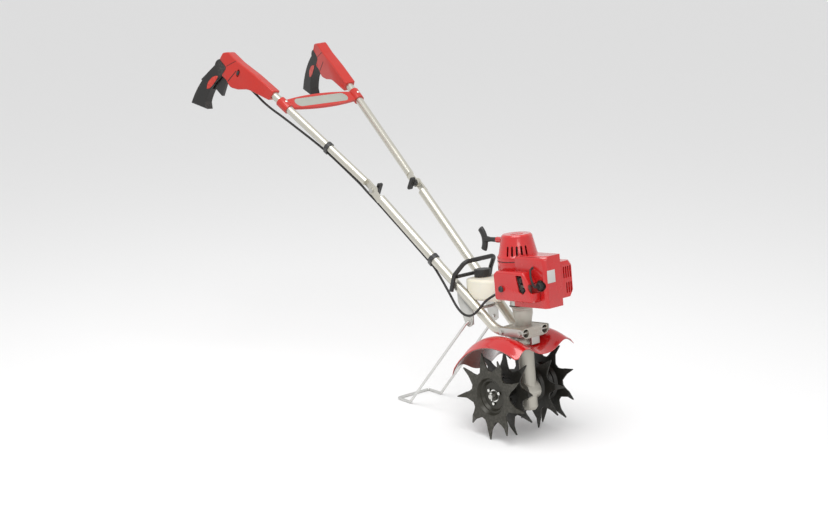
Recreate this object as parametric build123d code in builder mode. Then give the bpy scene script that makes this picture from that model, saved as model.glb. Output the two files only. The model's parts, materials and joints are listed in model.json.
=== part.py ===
"""Small two-cycle garden tiller, standing on its tines and its kickstand.

The machine is drawn upright: X forward, Y to its left, Z up the gear column, with the
origin on the tine axle. Every finished piece is then set down the way the machine is
parked, leaned back until the kickstand touches the ground.
"""

import os
from math import cos, radians, sin

from build123d import *

# ---- driving dimensions, millimetres -------------------------------------------------
TIP_RADIUS = 115.0          # tine tip to axle centre, so the axle height when parked
LEAN = 7.5                  # degrees the machine leans back on its kickstand
BOX_CENTRE_X = -489.0       # middle of the parked machine, measured from the axle

SHAFT_RADIUS = 7.0
BUSH_RADIUS = 7.05          # running fit on the tine shaft
OUTER_TINE_Y = 100.0
INNER_TINE_Y = 50.0
TEETH = 9
TINE_SHEET = 3.0

COLUMN_X = 41.0             # the worm stands this far ahead of the axle
COLUMN_RADIUS = 20.5
COLUMN_TOP = 214.0
CASE_RADIUS = 38.0
WHEEL_RADIUS = 31.0
WORM_RADIUS = 9.5
WORM_THREADS = 5

BOWL_TOP = 246.0
FAN_TOP = 346.0
RECOIL_TOP = 412.0
FAN_RADIUS = 54.0

COVER_FRONT = 176.0
COVER_RIGHT = -45.0
COVER_LEFT = 12.0
COVER_TOP = 364.0
COVER_BOTTOM = 232.0
SHEET = 2.5                 # wall of the moulded covers

LOWER_TUBE = 12.5           # tube radii
UPPER_TUBE = 11.0
TUBE_WALL = 1.6
CLAMP_Y = 34.5              # lower tubes beside the column
CLAMP_Z = 160.0
HINGE_X, HINGE_Y, HINGE_Z = -414.0, 80.0, 526.0
UPPER_Y = 76.0              # upper tube axes at the hinge, half a tongue inside it
SHOULDER = 34.0             # hinge to the round part of either tube
BEND_X = -24.0              # where the lower tubes turn level beside the column
UPPER_LENGTH = 465.0
FOLD_EYE = 12.0             # rounded end of each hinge tongue
TONGUE = 6.0
TONGUE_SEAT = 0.05          # tongue and tube are two solids with this joint line
BOLT = 3.0

BRACE_X, BRACE_Y, BRACE_Z = -701.0, 131.5, 767.0
COLLAR_RUN = 45.0           # brace to the mouth of a grip
GRIP_HALF = 16.0
CANT = 4.5                  # degrees each grip leans outwards
SOCKET = 75.2               # depth of tube inside a grip

STAND_X, STAND_Y, STAND_Z = -113.0, 56.0, 178.0
STAND_ROD = 3.75
FOOT_X, FOOT_Z = -365.5, -64.0
HEEL_X, HEEL_Z = -415.0, -57.55

FENDER_Y = 112.0
FENDER_ARC = 180.0
FENDER_SHEET = 2.0

SIDES = {"right": -1, "left": 1}
UP = Vector(0, 0, 1)
COLUMN_AXIS = Axis((COLUMN_X, 0, 0), (0, 0, 1))
PARKED = Location((-BOX_CENTRE_X, 0, TIP_RADIUS), (0, -LEAN, 0))

os.makedirs("parts", exist_ok=True)


# ---- helpers -------------------------------------------------------------------------
def write(piece, name):
    """Set a finished piece down as the machine is parked, name it and write it."""
    piece.part.locate(PARKED)
    piece.part.label = name
    export_step(piece.part, f"parts/{name}.step")


def across(y):
    """A plane seen from the machine's right side, at this distance to its left."""
    return Plane.XZ.offset(-y)


def upright(height):
    """A level plane at this height, centred on the gear column."""
    return Plane.XY.offset(height).move(Location((COLUMN_X, 0, 0)))


def bent_rod(points, bends, radius, wall=0):
    """A rod or tube along straight runs joined by bends."""
    with BuildPart() as rod:
        with BuildLine() as route:
            FilletPolyline(*points, radius=bends)
        with BuildSketch(Plane(route.line @ 0, z_dir=route.line % 0)):
            Circle(radius)
            if wall:
                Circle(radius - wall, mode=Mode.SUBTRACT)
        sweep()
    return rod


def turned(profile, axis=COLUMN_AXIS):
    """A turned piece from its half profile, given as (radius, height) corners."""
    with BuildPart() as piece:
        with BuildSketch(Plane.XZ):
            with BuildLine():
                Polyline([(axis.position.X + r, z) for r, z in profile], close=True)
            make_face()
        revolve(axis=axis)
    return piece


# ---- gear column ---------------------------------------------------------------------
CASE_Y = 22.0
with BuildPart() as gear_housing:
    with BuildSketch(Plane.XZ):
        with BuildLine():
            Polyline((COLUMN_X, -50), (COLUMN_X + 15, -50), (COLUMN_X + COLUMN_RADIUS, -42),
                     (COLUMN_X + COLUMN_RADIUS, 178), (COLUMN_X + 26, 204),
                     (COLUMN_X + 26, COLUMN_TOP), (COLUMN_X, COLUMN_TOP), close=True)
        make_face()
    revolve(axis=COLUMN_AXIS)
    with BuildSketch(Plane.XZ):
        Circle(CASE_RADIUS)
        with Locations((COLUMN_X, 0)):
            Circle(COLUMN_RADIUS + 3)
        make_hull()
    extrude(amount=CASE_Y, both=True)
    with BuildSketch(across(CASE_Y)):
        Circle(20)
    extrude(amount=-8)
    with BuildSketch(across(CASE_Y)):
        with PolarLocations(29, 6, start_angle=30):
            Circle(3.5)
    extrude(amount=-3)
    with BuildSketch(across(-CASE_Y)):
        Circle(34)
    extrude(amount=-31, mode=Mode.SUBTRACT)
    with BuildSketch(across(30)):
        Circle(11)
    extrude(amount=25, mode=Mode.SUBTRACT)
    with BuildSketch(upright(-46)):
        Circle(WORM_RADIUS + 1.5)
    extrude(amount=COLUMN_TOP + 46, mode=Mode.SUBTRACT)
write(gear_housing, "gear_housing")

with BuildPart() as case_cover:
    with BuildSketch(across(-CASE_Y)):
        Circle(CASE_RADIUS)
    extrude(amount=5)
    with BuildSketch(across(-CASE_Y)):
        Circle(33.9)
    extrude(amount=-11)
    with BuildSketch(across(-CASE_Y - 5)):
        Circle(20)
    extrude(amount=3)
    with BuildSketch(across(-CASE_Y - 8)):
        Circle(11)
    extrude(amount=-20, mode=Mode.SUBTRACT)
    with BuildSketch(across(-CASE_Y - 5)):
        with PolarLocations(29, 6, start_angle=30):
            Circle(2)
    extrude(amount=-17, mode=Mode.SUBTRACT)
write(case_cover, "case_cover")

with BuildPart() as bearings:
    with BuildSketch(across(30)):
        Circle(11)
        Circle(BUSH_RADIUS, mode=Mode.SUBTRACT)
    extrude(amount=19)
    with BuildSketch(across(-11)):
        Circle(11)
        Circle(BUSH_RADIUS, mode=Mode.SUBTRACT)
    extrude(amount=19)
    for height in (-44, 60, 200):
        with BuildSketch(upright(height)):
            Circle(WORM_RADIUS + 1.5)
            Circle(5.05, mode=Mode.SUBTRACT)
        extrude(amount=8)
write(bearings, "bearings")

# ---- worm drive ----------------------------------------------------------------------
thread_pitch = 44 / WORM_THREADS
worm_profile = [(0, -45), (5, -45), (5, -24), (WORM_RADIUS, -22)]
for turn in range(WORM_THREADS):
    foot = -22 + turn * thread_pitch
    worm_profile += [(WORM_RADIUS, foot + 3), (7, foot + 4.5), (7, foot + 7)]
    worm_profile += [(WORM_RADIUS, foot + thread_pitch)]
worm_profile += [(5, 24), (5, 229), (0, 229)]
worm_shaft = turned(worm_profile)
write(worm_shaft, "worm_shaft")

clutch_drum = turned([(0, 229), (31, 229), (31, 243), (28.5, 243), (28.5, 232), (0, 232)])
write(clutch_drum, "clutch_drum")

clutch_bowl = turned([(6, COLUMN_TOP), (26, COLUMN_TOP), (28, 220), (42, 234), (44, 240),
                      (44, BOWL_TOP), (34, BOWL_TOP), (34, 226), (6, 226)])
write(clutch_bowl, "clutch_bowl")

with BuildPart() as worm_wheel:
    with BuildSketch(Plane.XZ):
        Circle(WHEEL_RADIUS)
        with PolarLocations(WHEEL_RADIUS, 30):
            Rectangle(5, 2.6, mode=Mode.SUBTRACT)
    extrude(amount=6.5, both=True)
    with BuildSketch(Plane.XZ):
        Circle(SHAFT_RADIUS)
    extrude(amount=7, both=True, mode=Mode.SUBTRACT)
write(worm_wheel, "worm_wheel")

with BuildPart() as tine_shaft:
    with BuildSketch(Plane.XZ):
        Circle(SHAFT_RADIUS)
    extrude(amount=102, both=True)
    chamfer(tine_shaft.edges().filter_by(GeomType.CIRCLE), 1)
    for y in (-97, 97):
        with BuildSketch(Plane.XY.offset(0)):
            with Locations((0, y)):
                Circle(2)
        extrude(amount=10, both=True, mode=Mode.SUBTRACT)
write(tine_shaft, "tine_shaft")

with BuildPart() as tine_pins:
    for y in (-97, 97):
        with BuildSketch(Plane.XY.offset(-11)):
            with Locations((0, y)):
                Circle(1.95)
        extrude(amount=22)
        with BuildSketch(Plane.XY.offset(8)):
            with Locations((0, y)):
                Circle(4)
        extrude(amount=2.5)
write(tine_pins, "tine_pins")


# ---- tines ---------------------------------------------------------------------------
ROOT_RADIUS = 64.0
BEND_RADIUS = 89.0
TOOTH_STEP = 360 / TEETH


def tine(side, plane_y, hub_from, hub_to, first_tooth, bends):
    """A toothed disc with a dished, stepped centre welded to its hub sleeve.

    Each tooth is flat to its bend line, then folds outward by its own angle.
    """
    outward = Vector(0, side, 0)
    half = TINE_SHEET / 2
    floor_y = side * (plane_y - 15)
    step_y = side * (plane_y - 8)
    rim_y = side * plane_y
    sheet = side * half
    with BuildPart() as disc:
        with BuildSketch(Plane.XY):
            with BuildLine():
                Polyline((10, floor_y - sheet), (37, floor_y - sheet), (42, step_y - sheet),
                         (46, step_y - sheet), (51, rim_y - sheet), (68, rim_y - sheet),
                         (68, rim_y + sheet), (49, rim_y + sheet), (44, step_y + sheet),
                         (40, step_y + sheet), (35, floor_y + sheet), (10, floor_y + sheet),
                         close=True)
            make_face()
        revolve(axis=Axis.Y)
        for index, bend in enumerate(bends):
            angle = radians(first_tooth + index * TOOTH_STEP)
            radial = Vector(cos(angle), 0, sin(angle))
            flat = Plane(rim_y * Vector(0, 1, 0), x_dir=radial, z_dir=outward)
            with BuildSketch(flat):
                with BuildLine():
                    ThreePointArc((ROOT_RADIUS, -19), (78, -11), (BEND_RADIUS, -8))
                    Line((BEND_RADIUS, -8), (BEND_RADIUS, 8))
                    ThreePointArc((BEND_RADIUS, 8), (78, 12.5), (ROOT_RADIUS, 19))
                    Line((ROOT_RADIUS, 19), (ROOT_RADIUS, -19))
                make_face()
            extrude(amount=half, both=True)
            fold = radians(bend)
            tip_plane = Plane(rim_y * Vector(0, 1, 0) + radial * BEND_RADIUS,
                              x_dir=radial * cos(fold) + outward * sin(fold),
                              z_dir=outward * cos(fold) - radial * sin(fold))
            reach = TIP_RADIUS - BEND_RADIUS
            with BuildSketch(tip_plane):
                with BuildLine():
                    Polyline((-0.8, -8.1), (reach, 1.6), (reach, 4), (-0.8, 8.1), close=True)
                make_face()
            extrude(amount=half, both=True)
        with BuildSketch(across(side * hub_from)):
            Circle(13)
        extrude(amount=-side * (hub_to - hub_from))
        with BuildSketch(across(floor_y)):
            with PolarLocations(21, 3, start_angle=first_tooth):
                Circle(4.2)
        extrude(amount=-side * 4.5)
        with BuildSketch(across(0)):
            Circle(SHAFT_RADIUS)
        extrude(amount=-side * 120, mode=Mode.SUBTRACT)
    return disc


DOWN = -90 - LEAN           # a tooth with this angle points straight at the ground
for name, side in SIDES.items():
    outer_tine = tine(side, OUTER_TINE_Y, 66.5, 91.5, DOWN, (0, 30, -16) * 3)
    write(outer_tine, f"outer_tine_{name}")
    inner_tine = tine(side, INNER_TINE_Y, 31.5, 66, DOWN + TOOTH_STEP / 2, (-14, 0, 24) * 3)
    write(inner_tine, f"inner_tine_{name}")

# ---- engine --------------------------------------------------------------------------
CYLINDER_Y, CYLINDER_Z = -13.0, 286.0

with BuildPart() as crankcase:
    with BuildSketch(Plane.XY.offset(BOWL_TOP)):
        with Locations((COLUMN_X, 0)):
            RectangleRounded(88, 80, 16)
    extrude(amount=72)
    chamfer(crankcase.faces().sort_by(Axis.Z)[0].edges(), 4)
    with BuildSketch(upright(BOWL_TOP - 1)):
        Circle(5.3)
    extrude(amount=80, mode=Mode.SUBTRACT)
    with BuildSketch(upright(280)):
        Circle(30)
    extrude(amount=32, mode=Mode.SUBTRACT)
write(crankcase, "crankcase")

with BuildPart() as cylinder:
    with BuildSketch(Plane.YZ.offset(85)):
        with Locations((CYLINDER_Y, CYLINDER_Z)):
            Circle(21)
    extrude(amount=61)
    for fin in range(8):
        with BuildSketch(Plane.YZ.offset(92 + 7 * fin)):
            with Locations((CYLINDER_Y, CYLINDER_Z)):
                RectangleRounded(50, 62, 8)
        extrude(amount=2)
    with BuildSketch(Plane.YZ.offset(146)):
        with Locations((CYLINDER_Y, CYLINDER_Z)):
            RectangleRounded(18, 26, 5)
    extrude(amount=18)
    with BuildSketch(Plane.YZ.offset(85)):
        with Locations((CYLINDER_Y, CYLINDER_Z)):
            Circle(15)
    extrude(amount=54, mode=Mode.SUBTRACT)
write(cylinder, "cylinder")

with BuildPart() as crankshaft:
    with BuildSketch(upright(236)):
        Circle(5)
    extrude(amount=130)
    with BuildSketch(upright(234)):
        Circle(27.5)
        Rectangle(60, 5, mode=Mode.SUBTRACT)
        Circle(8)
    extrude(amount=8)
    for height in (284, 301):
        with BuildSketch(upright(height)):
            Circle(28)
            with Locations((22, 0)):
                Rectangle(14, 60, mode=Mode.SUBTRACT)
            with Locations((14, 0)):
                Circle(9)
        extrude(amount=7)
    with BuildSketch(upright(289)):
        with Locations((14, 0)):
            Circle(5)
    extrude(amount=14)
write(crankshaft, "crankshaft")

fan_housing = turned([(14, 318), (52, 318), (FAN_RADIUS, 322), (FAN_RADIUS, FAN_TOP),
                      (FAN_RADIUS - 3, FAN_TOP), (FAN_RADIUS - 3, 321), (14, 321)])
write(fan_housing, "fan_housing")

with BuildPart() as flywheel:
    with BuildSketch(upright(325)):
        Circle(44)
    extrude(amount=5)
    with BuildSketch(upright(330)):
        with PolarLocations(33, 12):
            Rectangle(20, 2.4, rotation=25)
        Circle(12)
    extrude(amount=14)
    with BuildSketch(upright(324)):
        Circle(5)
    extrude(amount=22, mode=Mode.SUBTRACT)
write(flywheel, "flywheel")

ROPE_Z = 393.0
with BuildPart() as recoil_cover:
    with BuildSketch(Plane.XZ):
        with BuildLine():
            Polyline((COLUMN_X, RECOIL_TOP), (COLUMN_X + 36, RECOIL_TOP),
                     (COLUMN_X + 40, RECOIL_TOP - 4), (COLUMN_X + 50, 362),
                     (COLUMN_X + FAN_RADIUS, 356), (COLUMN_X + FAN_RADIUS, FAN_TOP),
                     (COLUMN_X, FAN_TOP), close=True)
        make_face()
    revolve(axis=COLUMN_AXIS)
    with BuildSketch(Plane.YZ.offset(-31)):
        with Locations((0, ROPE_Z)):
            Circle(8)
    extrude(amount=40)
    with BuildSketch(Plane.XZ):
        with BuildLine():
            Polyline((COLUMN_X, RECOIL_TOP - SHEET), (COLUMN_X + 36, RECOIL_TOP - SHEET),
                     (COLUMN_X + 47, 361), (COLUMN_X + 47, FAN_TOP), (COLUMN_X, FAN_TOP),
                     close=True)
        make_face()
    revolve(axis=COLUMN_AXIS, mode=Mode.SUBTRACT)
    with BuildSketch(Plane.YZ.offset(-32)):
        with Locations((0, ROPE_Z)):
            Circle(3.5)
    extrude(amount=50, mode=Mode.SUBTRACT)
    for slot in range(5):
        with BuildSketch(Plane(COLUMN_AXIS.position + 372 * UP, x_dir=(0, 0, 1),
                               z_dir=Vector(1, 0, 0).rotate(Axis.Z, -78 + 15 * slot))):
            SlotOverall(26, 5)
        extrude(amount=70, mode=Mode.SUBTRACT)
write(recoil_cover, "recoil_cover")

starter_pulley = turned([(0, 368), (10, 368), (36, 388), (36, 390), (31, 391), (31, 395),
                         (36, 396), (36, 398), (0, 398)])
write(starter_pulley, "starter_pulley")

with BuildPart() as starter_handle:
    with BuildSketch(Plane.YZ.offset(-76)):
        with Locations((0, ROPE_Z)):
            Circle(9)
    with BuildSketch(Plane.YZ.offset(-54)):
        with Locations((0, ROPE_Z)):
            Circle(6)
    with BuildSketch(Plane.YZ.offset(-32)):
        with Locations((0, ROPE_Z)):
            Circle(6.5)
    loft(ruled=True)
    with BuildLine() as grip_bow:
        ThreePointArc((-90, 0, ROPE_Z + 27), (-77, 0, ROPE_Z), (-83, 0, ROPE_Z - 27))
    with BuildSketch(Plane(grip_bow.line @ 0, z_dir=grip_bow.line % 0)):
        Ellipse(9, 6.5)
    sweep()
    with BuildSketch(Plane.YZ.offset(-72)):
        with Locations((0, ROPE_Z)):
            Circle(2.5)
    extrude(amount=50, mode=Mode.SUBTRACT)
write(starter_handle, "starter_handle")

with BuildPart() as starter_rope:
    with BuildSketch(Plane.YZ.offset(-72)):
        with Locations((0, ROPE_Z)):
            Circle(2.2)
    extrude(amount=76)
write(starter_rope, "starter_rope")

with BuildPart() as engine_cover:
    with BuildSketch(Plane.XY.offset(COVER_BOTTOM)):
        with BuildLine():
            Polyline((60, COVER_RIGHT), (COVER_FRONT - 8, COVER_RIGHT), (COVER_FRONT, -37),
                     (COVER_FRONT, COVER_LEFT), (60, COVER_LEFT), close=True)
        make_face()
    extrude(amount=COVER_TOP - COVER_BOTTOM)
    fillet(engine_cover.faces().sort_by(Axis.Z)[-1].edges().sort_by(Axis.Y)[:2], 10)
    with BuildSketch(Plane.XY.offset(COVER_BOTTOM + SHEET)):
        with BuildLine():
            Polyline((50, COVER_RIGHT + SHEET), (COVER_FRONT - 9, COVER_RIGHT + SHEET),
                     (COVER_FRONT - SHEET, -36), (COVER_FRONT - SHEET, 20), (50, 20),
                     close=True)
        make_face()
    extrude(amount=COVER_TOP - COVER_BOTTOM - 2 * SHEET, mode=Mode.SUBTRACT)
    with BuildSketch(Plane.XZ):
        with BuildLine():
            Polyline((COLUMN_X, 200), (COLUMN_X + 46, 200), (COLUMN_X + 46, 317),
                     (COLUMN_X + FAN_RADIUS + 0.5, 317), (COLUMN_X + FAN_RADIUS + 0.5, 370),
                     (COLUMN_X, 370), close=True)
        make_face()
    revolve(axis=COLUMN_AXIS, mode=Mode.SUBTRACT)
    with BuildSketch(across(COVER_RIGHT)):
        with Locations((157, 290)):
            Circle(15)
    extrude(amount=-10, mode=Mode.SUBTRACT)
write(engine_cover, "engine_cover")

with BuildPart() as muffler_guard:
    with BuildSketch(Plane.YZ.offset(96)):
        with BuildLine():
            Polyline((COVER_LEFT, 250), (48, 250), (58, 264), (58, 330), (48, 343),
                     (COVER_LEFT, 343), close=True)
        make_face()
    extrude(amount=COVER_FRONT - 97)
    chamfer(muffler_guard.faces().sort_by(Axis.X)[-1].edges().sort_by(Axis.Y)[-3:], 6)
    with BuildSketch(Plane.YZ.offset(94)):
        with BuildLine():
            Polyline((0, 252.5), (47, 252.5), (55.5, 265), (55.5, 329), (47, 340.5),
                     (0, 340.5), close=True)
        make_face()
    extrude(amount=COVER_FRONT - 100, mode=Mode.SUBTRACT)
    with BuildSketch(Plane.YZ.offset(160)):
        with Locations((35, 314)):
            with GridLocations(8, 1, 4, 1):
                SlotOverall(30, 4.4, rotation=90)
        with Locations((39, 274)):
            with GridLocations(8, 1, 3, 1):
                SlotOverall(28, 4.4, rotation=90)
    extrude(amount=30, mode=Mode.SUBTRACT)
    with BuildSketch(across(50)):
        with Locations((132, 297)):
            with GridLocations(11, 1, 5, 1):
                SlotOverall(46, 5, rotation=90)
    extrude(amount=-20, mode=Mode.SUBTRACT)
write(muffler_guard, "muffler_guard")

with BuildPart() as muffler:
    with BuildSketch(Plane.XY.offset(262)):
        with Locations((130, 33)):
            RectangleRounded(64, 38, 10)
    extrude(amount=70)
    fillet(muffler.faces().sort_by(Axis.Z)[-1].edges(), 6)
    with BuildSketch(Plane.XY.offset(300)):
        with Locations((92, 30)):
            Rectangle(14, 20)
    extrude(amount=14)
write(muffler, "muffler")

with BuildPart() as air_cleaner_cover:
    with BuildSketch(across(-46)):
        with BuildLine():
            Polyline((19, 256), (24, 250), (150, 250), (154, 256), (154, 285), (124, 326),
                     (30, 326), (19, 318), close=True)
        make_face()
    extrude(amount=29)
    fillet(air_cleaner_cover.faces().sort_by(Axis.Y)[0].edges(), 6)
    with BuildSketch(across(-46)):
        with BuildLine():
            Polyline((22, 258), (26, 253), (146, 253), (150, 258), (150, 283), (121, 323),
                     (31, 323), (22, 316), close=True)
        make_face()
    extrude(amount=26, mode=Mode.SUBTRACT)
    with BuildSketch(across(-60)):
        with BuildLine():
            Polyline((100, 318), (121, 318), (126, 296), (133, 281), (122, 270), (108, 276),
                     close=True)
        make_face()
    extrude(amount=20, mode=Mode.SUBTRACT)
    with BuildSketch(across(-46)):
        with Locations((157, 290)):
            Circle(17)
    extrude(amount=40, mode=Mode.SUBTRACT)
    with BuildSketch(upright(316)):
        Circle(FAN_RADIUS + 0.4)
    extrude(amount=20, mode=Mode.SUBTRACT)
    with BuildSketch(across(-70)):
        with Locations((48, 281)):
            Circle(7)
    extrude(amount=8)
write(air_cleaner_cover, "air_cleaner_cover")

BULB_X, BULB_Z = 117.0, 280.0
with BuildPart() as carburettor:
    with BuildSketch(across(-40)):
        with Locations((36, 288)):
            RectangleRounded(26, 40, 5)
        with Locations((50, 282)):
            Circle(9)
    extrude(amount=22)
    with BuildSketch(across(-46)):
        with Locations((98, 288)):
            RectangleRounded(56, 46, 5)
        with Locations((62, 284)):
            Rectangle(26, 12)
    extrude(amount=14)
    with BuildSketch(across(-60)):
        with Locations((BULB_X, BULB_Z)):
            Circle(7)
    extrude(amount=-6, mode=Mode.SUBTRACT)
write(carburettor, "carburettor")

CHOKE_X, CHOKE_Z = 112.0, 306.0
with BuildPart() as choke_lever:
    with BuildSketch(across(-62)):
        with Locations((CHOKE_X, CHOKE_Z)):
            Circle(4)
        with Locations((CHOKE_X, CHOKE_Z - 5)):
            SlotOverall(16, 5, rotation=90)
    extrude(amount=3)
    with BuildSketch(across(-65)):
        with Locations((CHOKE_X, CHOKE_Z - 10)):
            Circle(2.5)
    extrude(amount=9)
write(choke_lever, "choke_lever")

with BuildPart() as primer_bulb:
    with BuildSketch(across(-60.2)):
        with Locations((BULB_X, BULB_Z)):
            Circle(6.5)
    extrude(amount=12)
    fillet(primer_bulb.faces().sort_by(Axis.Y)[0].edges(), 5)
write(primer_bulb, "primer_bulb")

# ---- ignition ------------------------------------------------------------------------
PLUG = Plane((157, -22, 290), z_dir=(0, -1, 0))
with BuildPart() as spark_plug:
    with BuildSketch(PLUG):
        RegularPolygon(8, 6)
    extrude(amount=6)
    with BuildSketch(PLUG.offset(6)):
        Circle(5)
    extrude(amount=14)
write(spark_plug, "spark_plug")

with BuildPart() as plug_boot:
    with BuildSketch(PLUG.offset(7)):
        Circle(9.5)
    extrude(amount=26)
    with BuildSketch(PLUG.offset(7)):
        Circle(5)
    extrude(amount=13, mode=Mode.SUBTRACT)
    fillet(plug_boot.faces().sort_by(Axis.Y)[0].edges(), 3)
write(plug_boot, "plug_boot")

LEAD_ROUTE = ((136, -47, 336), (138, -58, 331), (145, -66, 318), (153, -71, 305),
              (157, -68, 290), (157, -55.1, 290))
ignition_lead = bent_rod(LEAD_ROUTE, 6, 2.8)
write(ignition_lead, "ignition_lead")

# ---- fuel tank -----------------------------------------------------------------------
CAP_X = -96.0
TANK_TOP = 292.0
with BuildPart() as fuel_tank:
    with BuildSketch(Plane.XY.offset(236)):
        with BuildLine():
            Polyline((-3, -38), (-3, 38), (-60, 46), (-112, 44), (-130, 30), (-130, -30),
                     (-112, -44), (-60, -46), close=True)
        make_face()
    extrude(amount=TANK_TOP - 236)
    fillet(fuel_tank.edges().filter_by(Axis.Z), 10)
    fillet(fuel_tank.faces().filter_by(Axis.Z).edges(), 8)
    for side in SIDES.values():
        tube_bend = Vector(BEND_X, side * CLAMP_Y, CLAMP_Z)
        tube_hinge = Vector(HINGE_X, side * HINGE_Y, HINGE_Z)
        with BuildSketch(Plane(tube_bend, z_dir=tube_hinge - tube_bend)):
            Circle(LOWER_TUBE + 2)
        extrude(amount=200, mode=Mode.SUBTRACT)
    with BuildSketch(Plane.XY.offset(TANK_TOP)):
        with Locations((CAP_X, 0)):
            Circle(17)
    extrude(amount=14)
write(fuel_tank, "fuel_tank")

with BuildPart() as fuel_cap:
    with BuildSketch(Plane.XY.offset(TANK_TOP + 2)):
        with Locations((CAP_X, 0)):
            Circle(22.5)
            with PolarLocations(23.4, 16):
                Circle(1.8, mode=Mode.SUBTRACT)
    extrude(amount=19)
    fillet(fuel_cap.faces().sort_by(Axis.Z)[-1].edges().filter_by(GeomType.CIRCLE), 0.8)
    with BuildSketch(Plane.XY.offset(TANK_TOP + 2)):
        with Locations((CAP_X, 0)):
            Circle(17.3)
    extrude(amount=14, mode=Mode.SUBTRACT)
write(fuel_cap, "fuel_cap")

# ---- frame tubes and their hinges ----------------------------------------------------
lower_run = Vector(BEND_X - HINGE_X, CLAMP_Y - HINGE_Y, CLAMP_Z - HINGE_Z).normalized()


def lower_tube(side):
    """A lower tube: from beside the column up to a flat tongue at the fold."""
    hinge = Vector(HINGE_X, side * HINGE_Y, HINGE_Z)
    down = Vector(lower_run.X, side * lower_run.Y, lower_run.Z)
    level = Vector(1, 0, -0.93).normalized()
    run = bent_rod((hinge + down * SHOULDER, (BEND_X, side * CLAMP_Y, CLAMP_Z),
                    (82, side * CLAMP_Y, CLAMP_Z)), 60, LOWER_TUBE, TUBE_WALL)
    with BuildPart() as tube:
        add(run.part)
        with BuildSketch(Plane(hinge + down * SHOULDER, z_dir=down)):
            Circle(LOWER_TUBE)
        extrude(amount=7)
        with BuildSketch(across(side * (HINGE_Y + 0.15))):
            with Locations((HINGE_X, HINGE_Z)):
                Circle(FOLD_EYE)
            with Locations((HINGE_X + level.X * 20, HINGE_Z + level.Z * 20)):
                Rectangle(40, 20, rotation=-43)
        extrude(amount=-side * TONGUE)
        with BuildSketch(across(0)):
            with Locations((HINGE_X, HINGE_Z)):
                Circle(BOLT)
            with Locations((8, CLAMP_Z), (74, CLAMP_Z)):
                Circle(BOLT)
        extrude(amount=-side * 120, mode=Mode.SUBTRACT)
    return tube


def upper_run(side):
    """The direction of an upper tube, up and back from its fold."""
    return Vector(BRACE_X - HINGE_X, side * (BRACE_Y - UPPER_Y), BRACE_Z - HINGE_Z).normalized()


def upper_tube(side):
    """An upper tube up into its grip, with the flat tongue seated in its lower end."""
    rise = upper_run(side)
    start = Vector(HINGE_X, side * UPPER_Y, HINGE_Z) + rise * SHOULDER
    with BuildPart() as tube:
        with BuildSketch(across(side * (HINGE_Y - 0.15))):
            with Locations((HINGE_X, HINGE_Z)):
                Circle(FOLD_EYE)
            with Locations((HINGE_X - 15.2, HINGE_Z + 12.7)):
                Rectangle(40, 20, rotation=-40)
        extrude(amount=side * TONGUE)
        with BuildSketch(across(0)):
            with Locations((HINGE_X, HINGE_Z)):
                Circle(BOLT + 0.1)
        extrude(amount=-side * 120, mode=Mode.SUBTRACT)
        with BuildSketch(Plane(start - rise * TONGUE_SEAT, z_dir=rise)):
            Circle(UPPER_TUBE + 5)
        extrude(amount=20, mode=Mode.SUBTRACT)
        with BuildSketch(Plane(start, z_dir=rise)):
            Circle(UPPER_TUBE)
        extrude(amount=UPPER_LENGTH)
        with BuildSketch(Plane(start + rise * 8, z_dir=rise)):
            Circle(UPPER_TUBE - TUBE_WALL)
        extrude(amount=UPPER_LENGTH, mode=Mode.SUBTRACT)
    return tube


for name, side in SIDES.items():
    write(lower_tube(side), f"lower_tube_{name}")
    write(upper_tube(side), f"upper_tube_{name}")

with BuildPart() as fasteners:
    with BuildSketch(across(-CASE_Y - 5)):
        with PolarLocations(29, 6, start_angle=30):
            Circle(4)
            RegularPolygon(2.2, 6, mode=Mode.SUBTRACT)
    extrude(amount=3)
    with BuildSketch(across(-CASE_Y - 5)):
        with PolarLocations(29, 6, start_angle=30):
            Circle(2)
    extrude(amount=-15)
    for side in SIDES.values():
        outside = side * (HINGE_Y + 0.15 + TONGUE)
        with BuildSketch(across(outside)):
            with Locations((HINGE_X, HINGE_Z)):
                Circle(7)
        extrude(amount=-side * 3.5)
        with BuildSketch(across(outside)):
            with Locations((HINGE_X, HINGE_Z)):
                Circle(BOLT)
        extrude(amount=side * 30)
        with BuildSketch(across(side * (CLAMP_Y + LOWER_TUBE + 3))):
            with Locations((8, CLAMP_Z), (74, CLAMP_Z)):
                RegularPolygon(5.8, 6)
        extrude(amount=-side * 4)
    with BuildSketch(across(0)):
        with Locations((8, CLAMP_Z), (74, CLAMP_Z)):
            Circle(BOLT)
    extrude(amount=CLAMP_Y + LOWER_TUBE + 3, both=True)
write(fasteners, "fasteners")

for name, side in SIDES.items():
    face = side * (HINGE_Y - 1.15 - TONGUE)
    with BuildPart() as fold_knob:
        with BuildSketch(across(face)):
            with Locations((HINGE_X, HINGE_Z)):
                Circle(8.5)
        extrude(amount=side * 9)
        with BuildSketch(across(face - side * 7)):
            with Locations((HINGE_X, HINGE_Z)):
                SlotOverall(38, 10, rotation=60)
        extrude(amount=side * 13)
        with BuildSketch(across(face)):
            with Locations((HINGE_X, HINGE_Z)):
                Circle(BOLT + 0.05)
        extrude(amount=side * 19, mode=Mode.SUBTRACT)
        inner_end = 0 if side > 0 else -1
        fillet(fold_knob.faces().sort_by(Axis.Y)[inner_end].edges(), 2)
    write(fold_knob, f"fold_knob_{name}")

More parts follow.
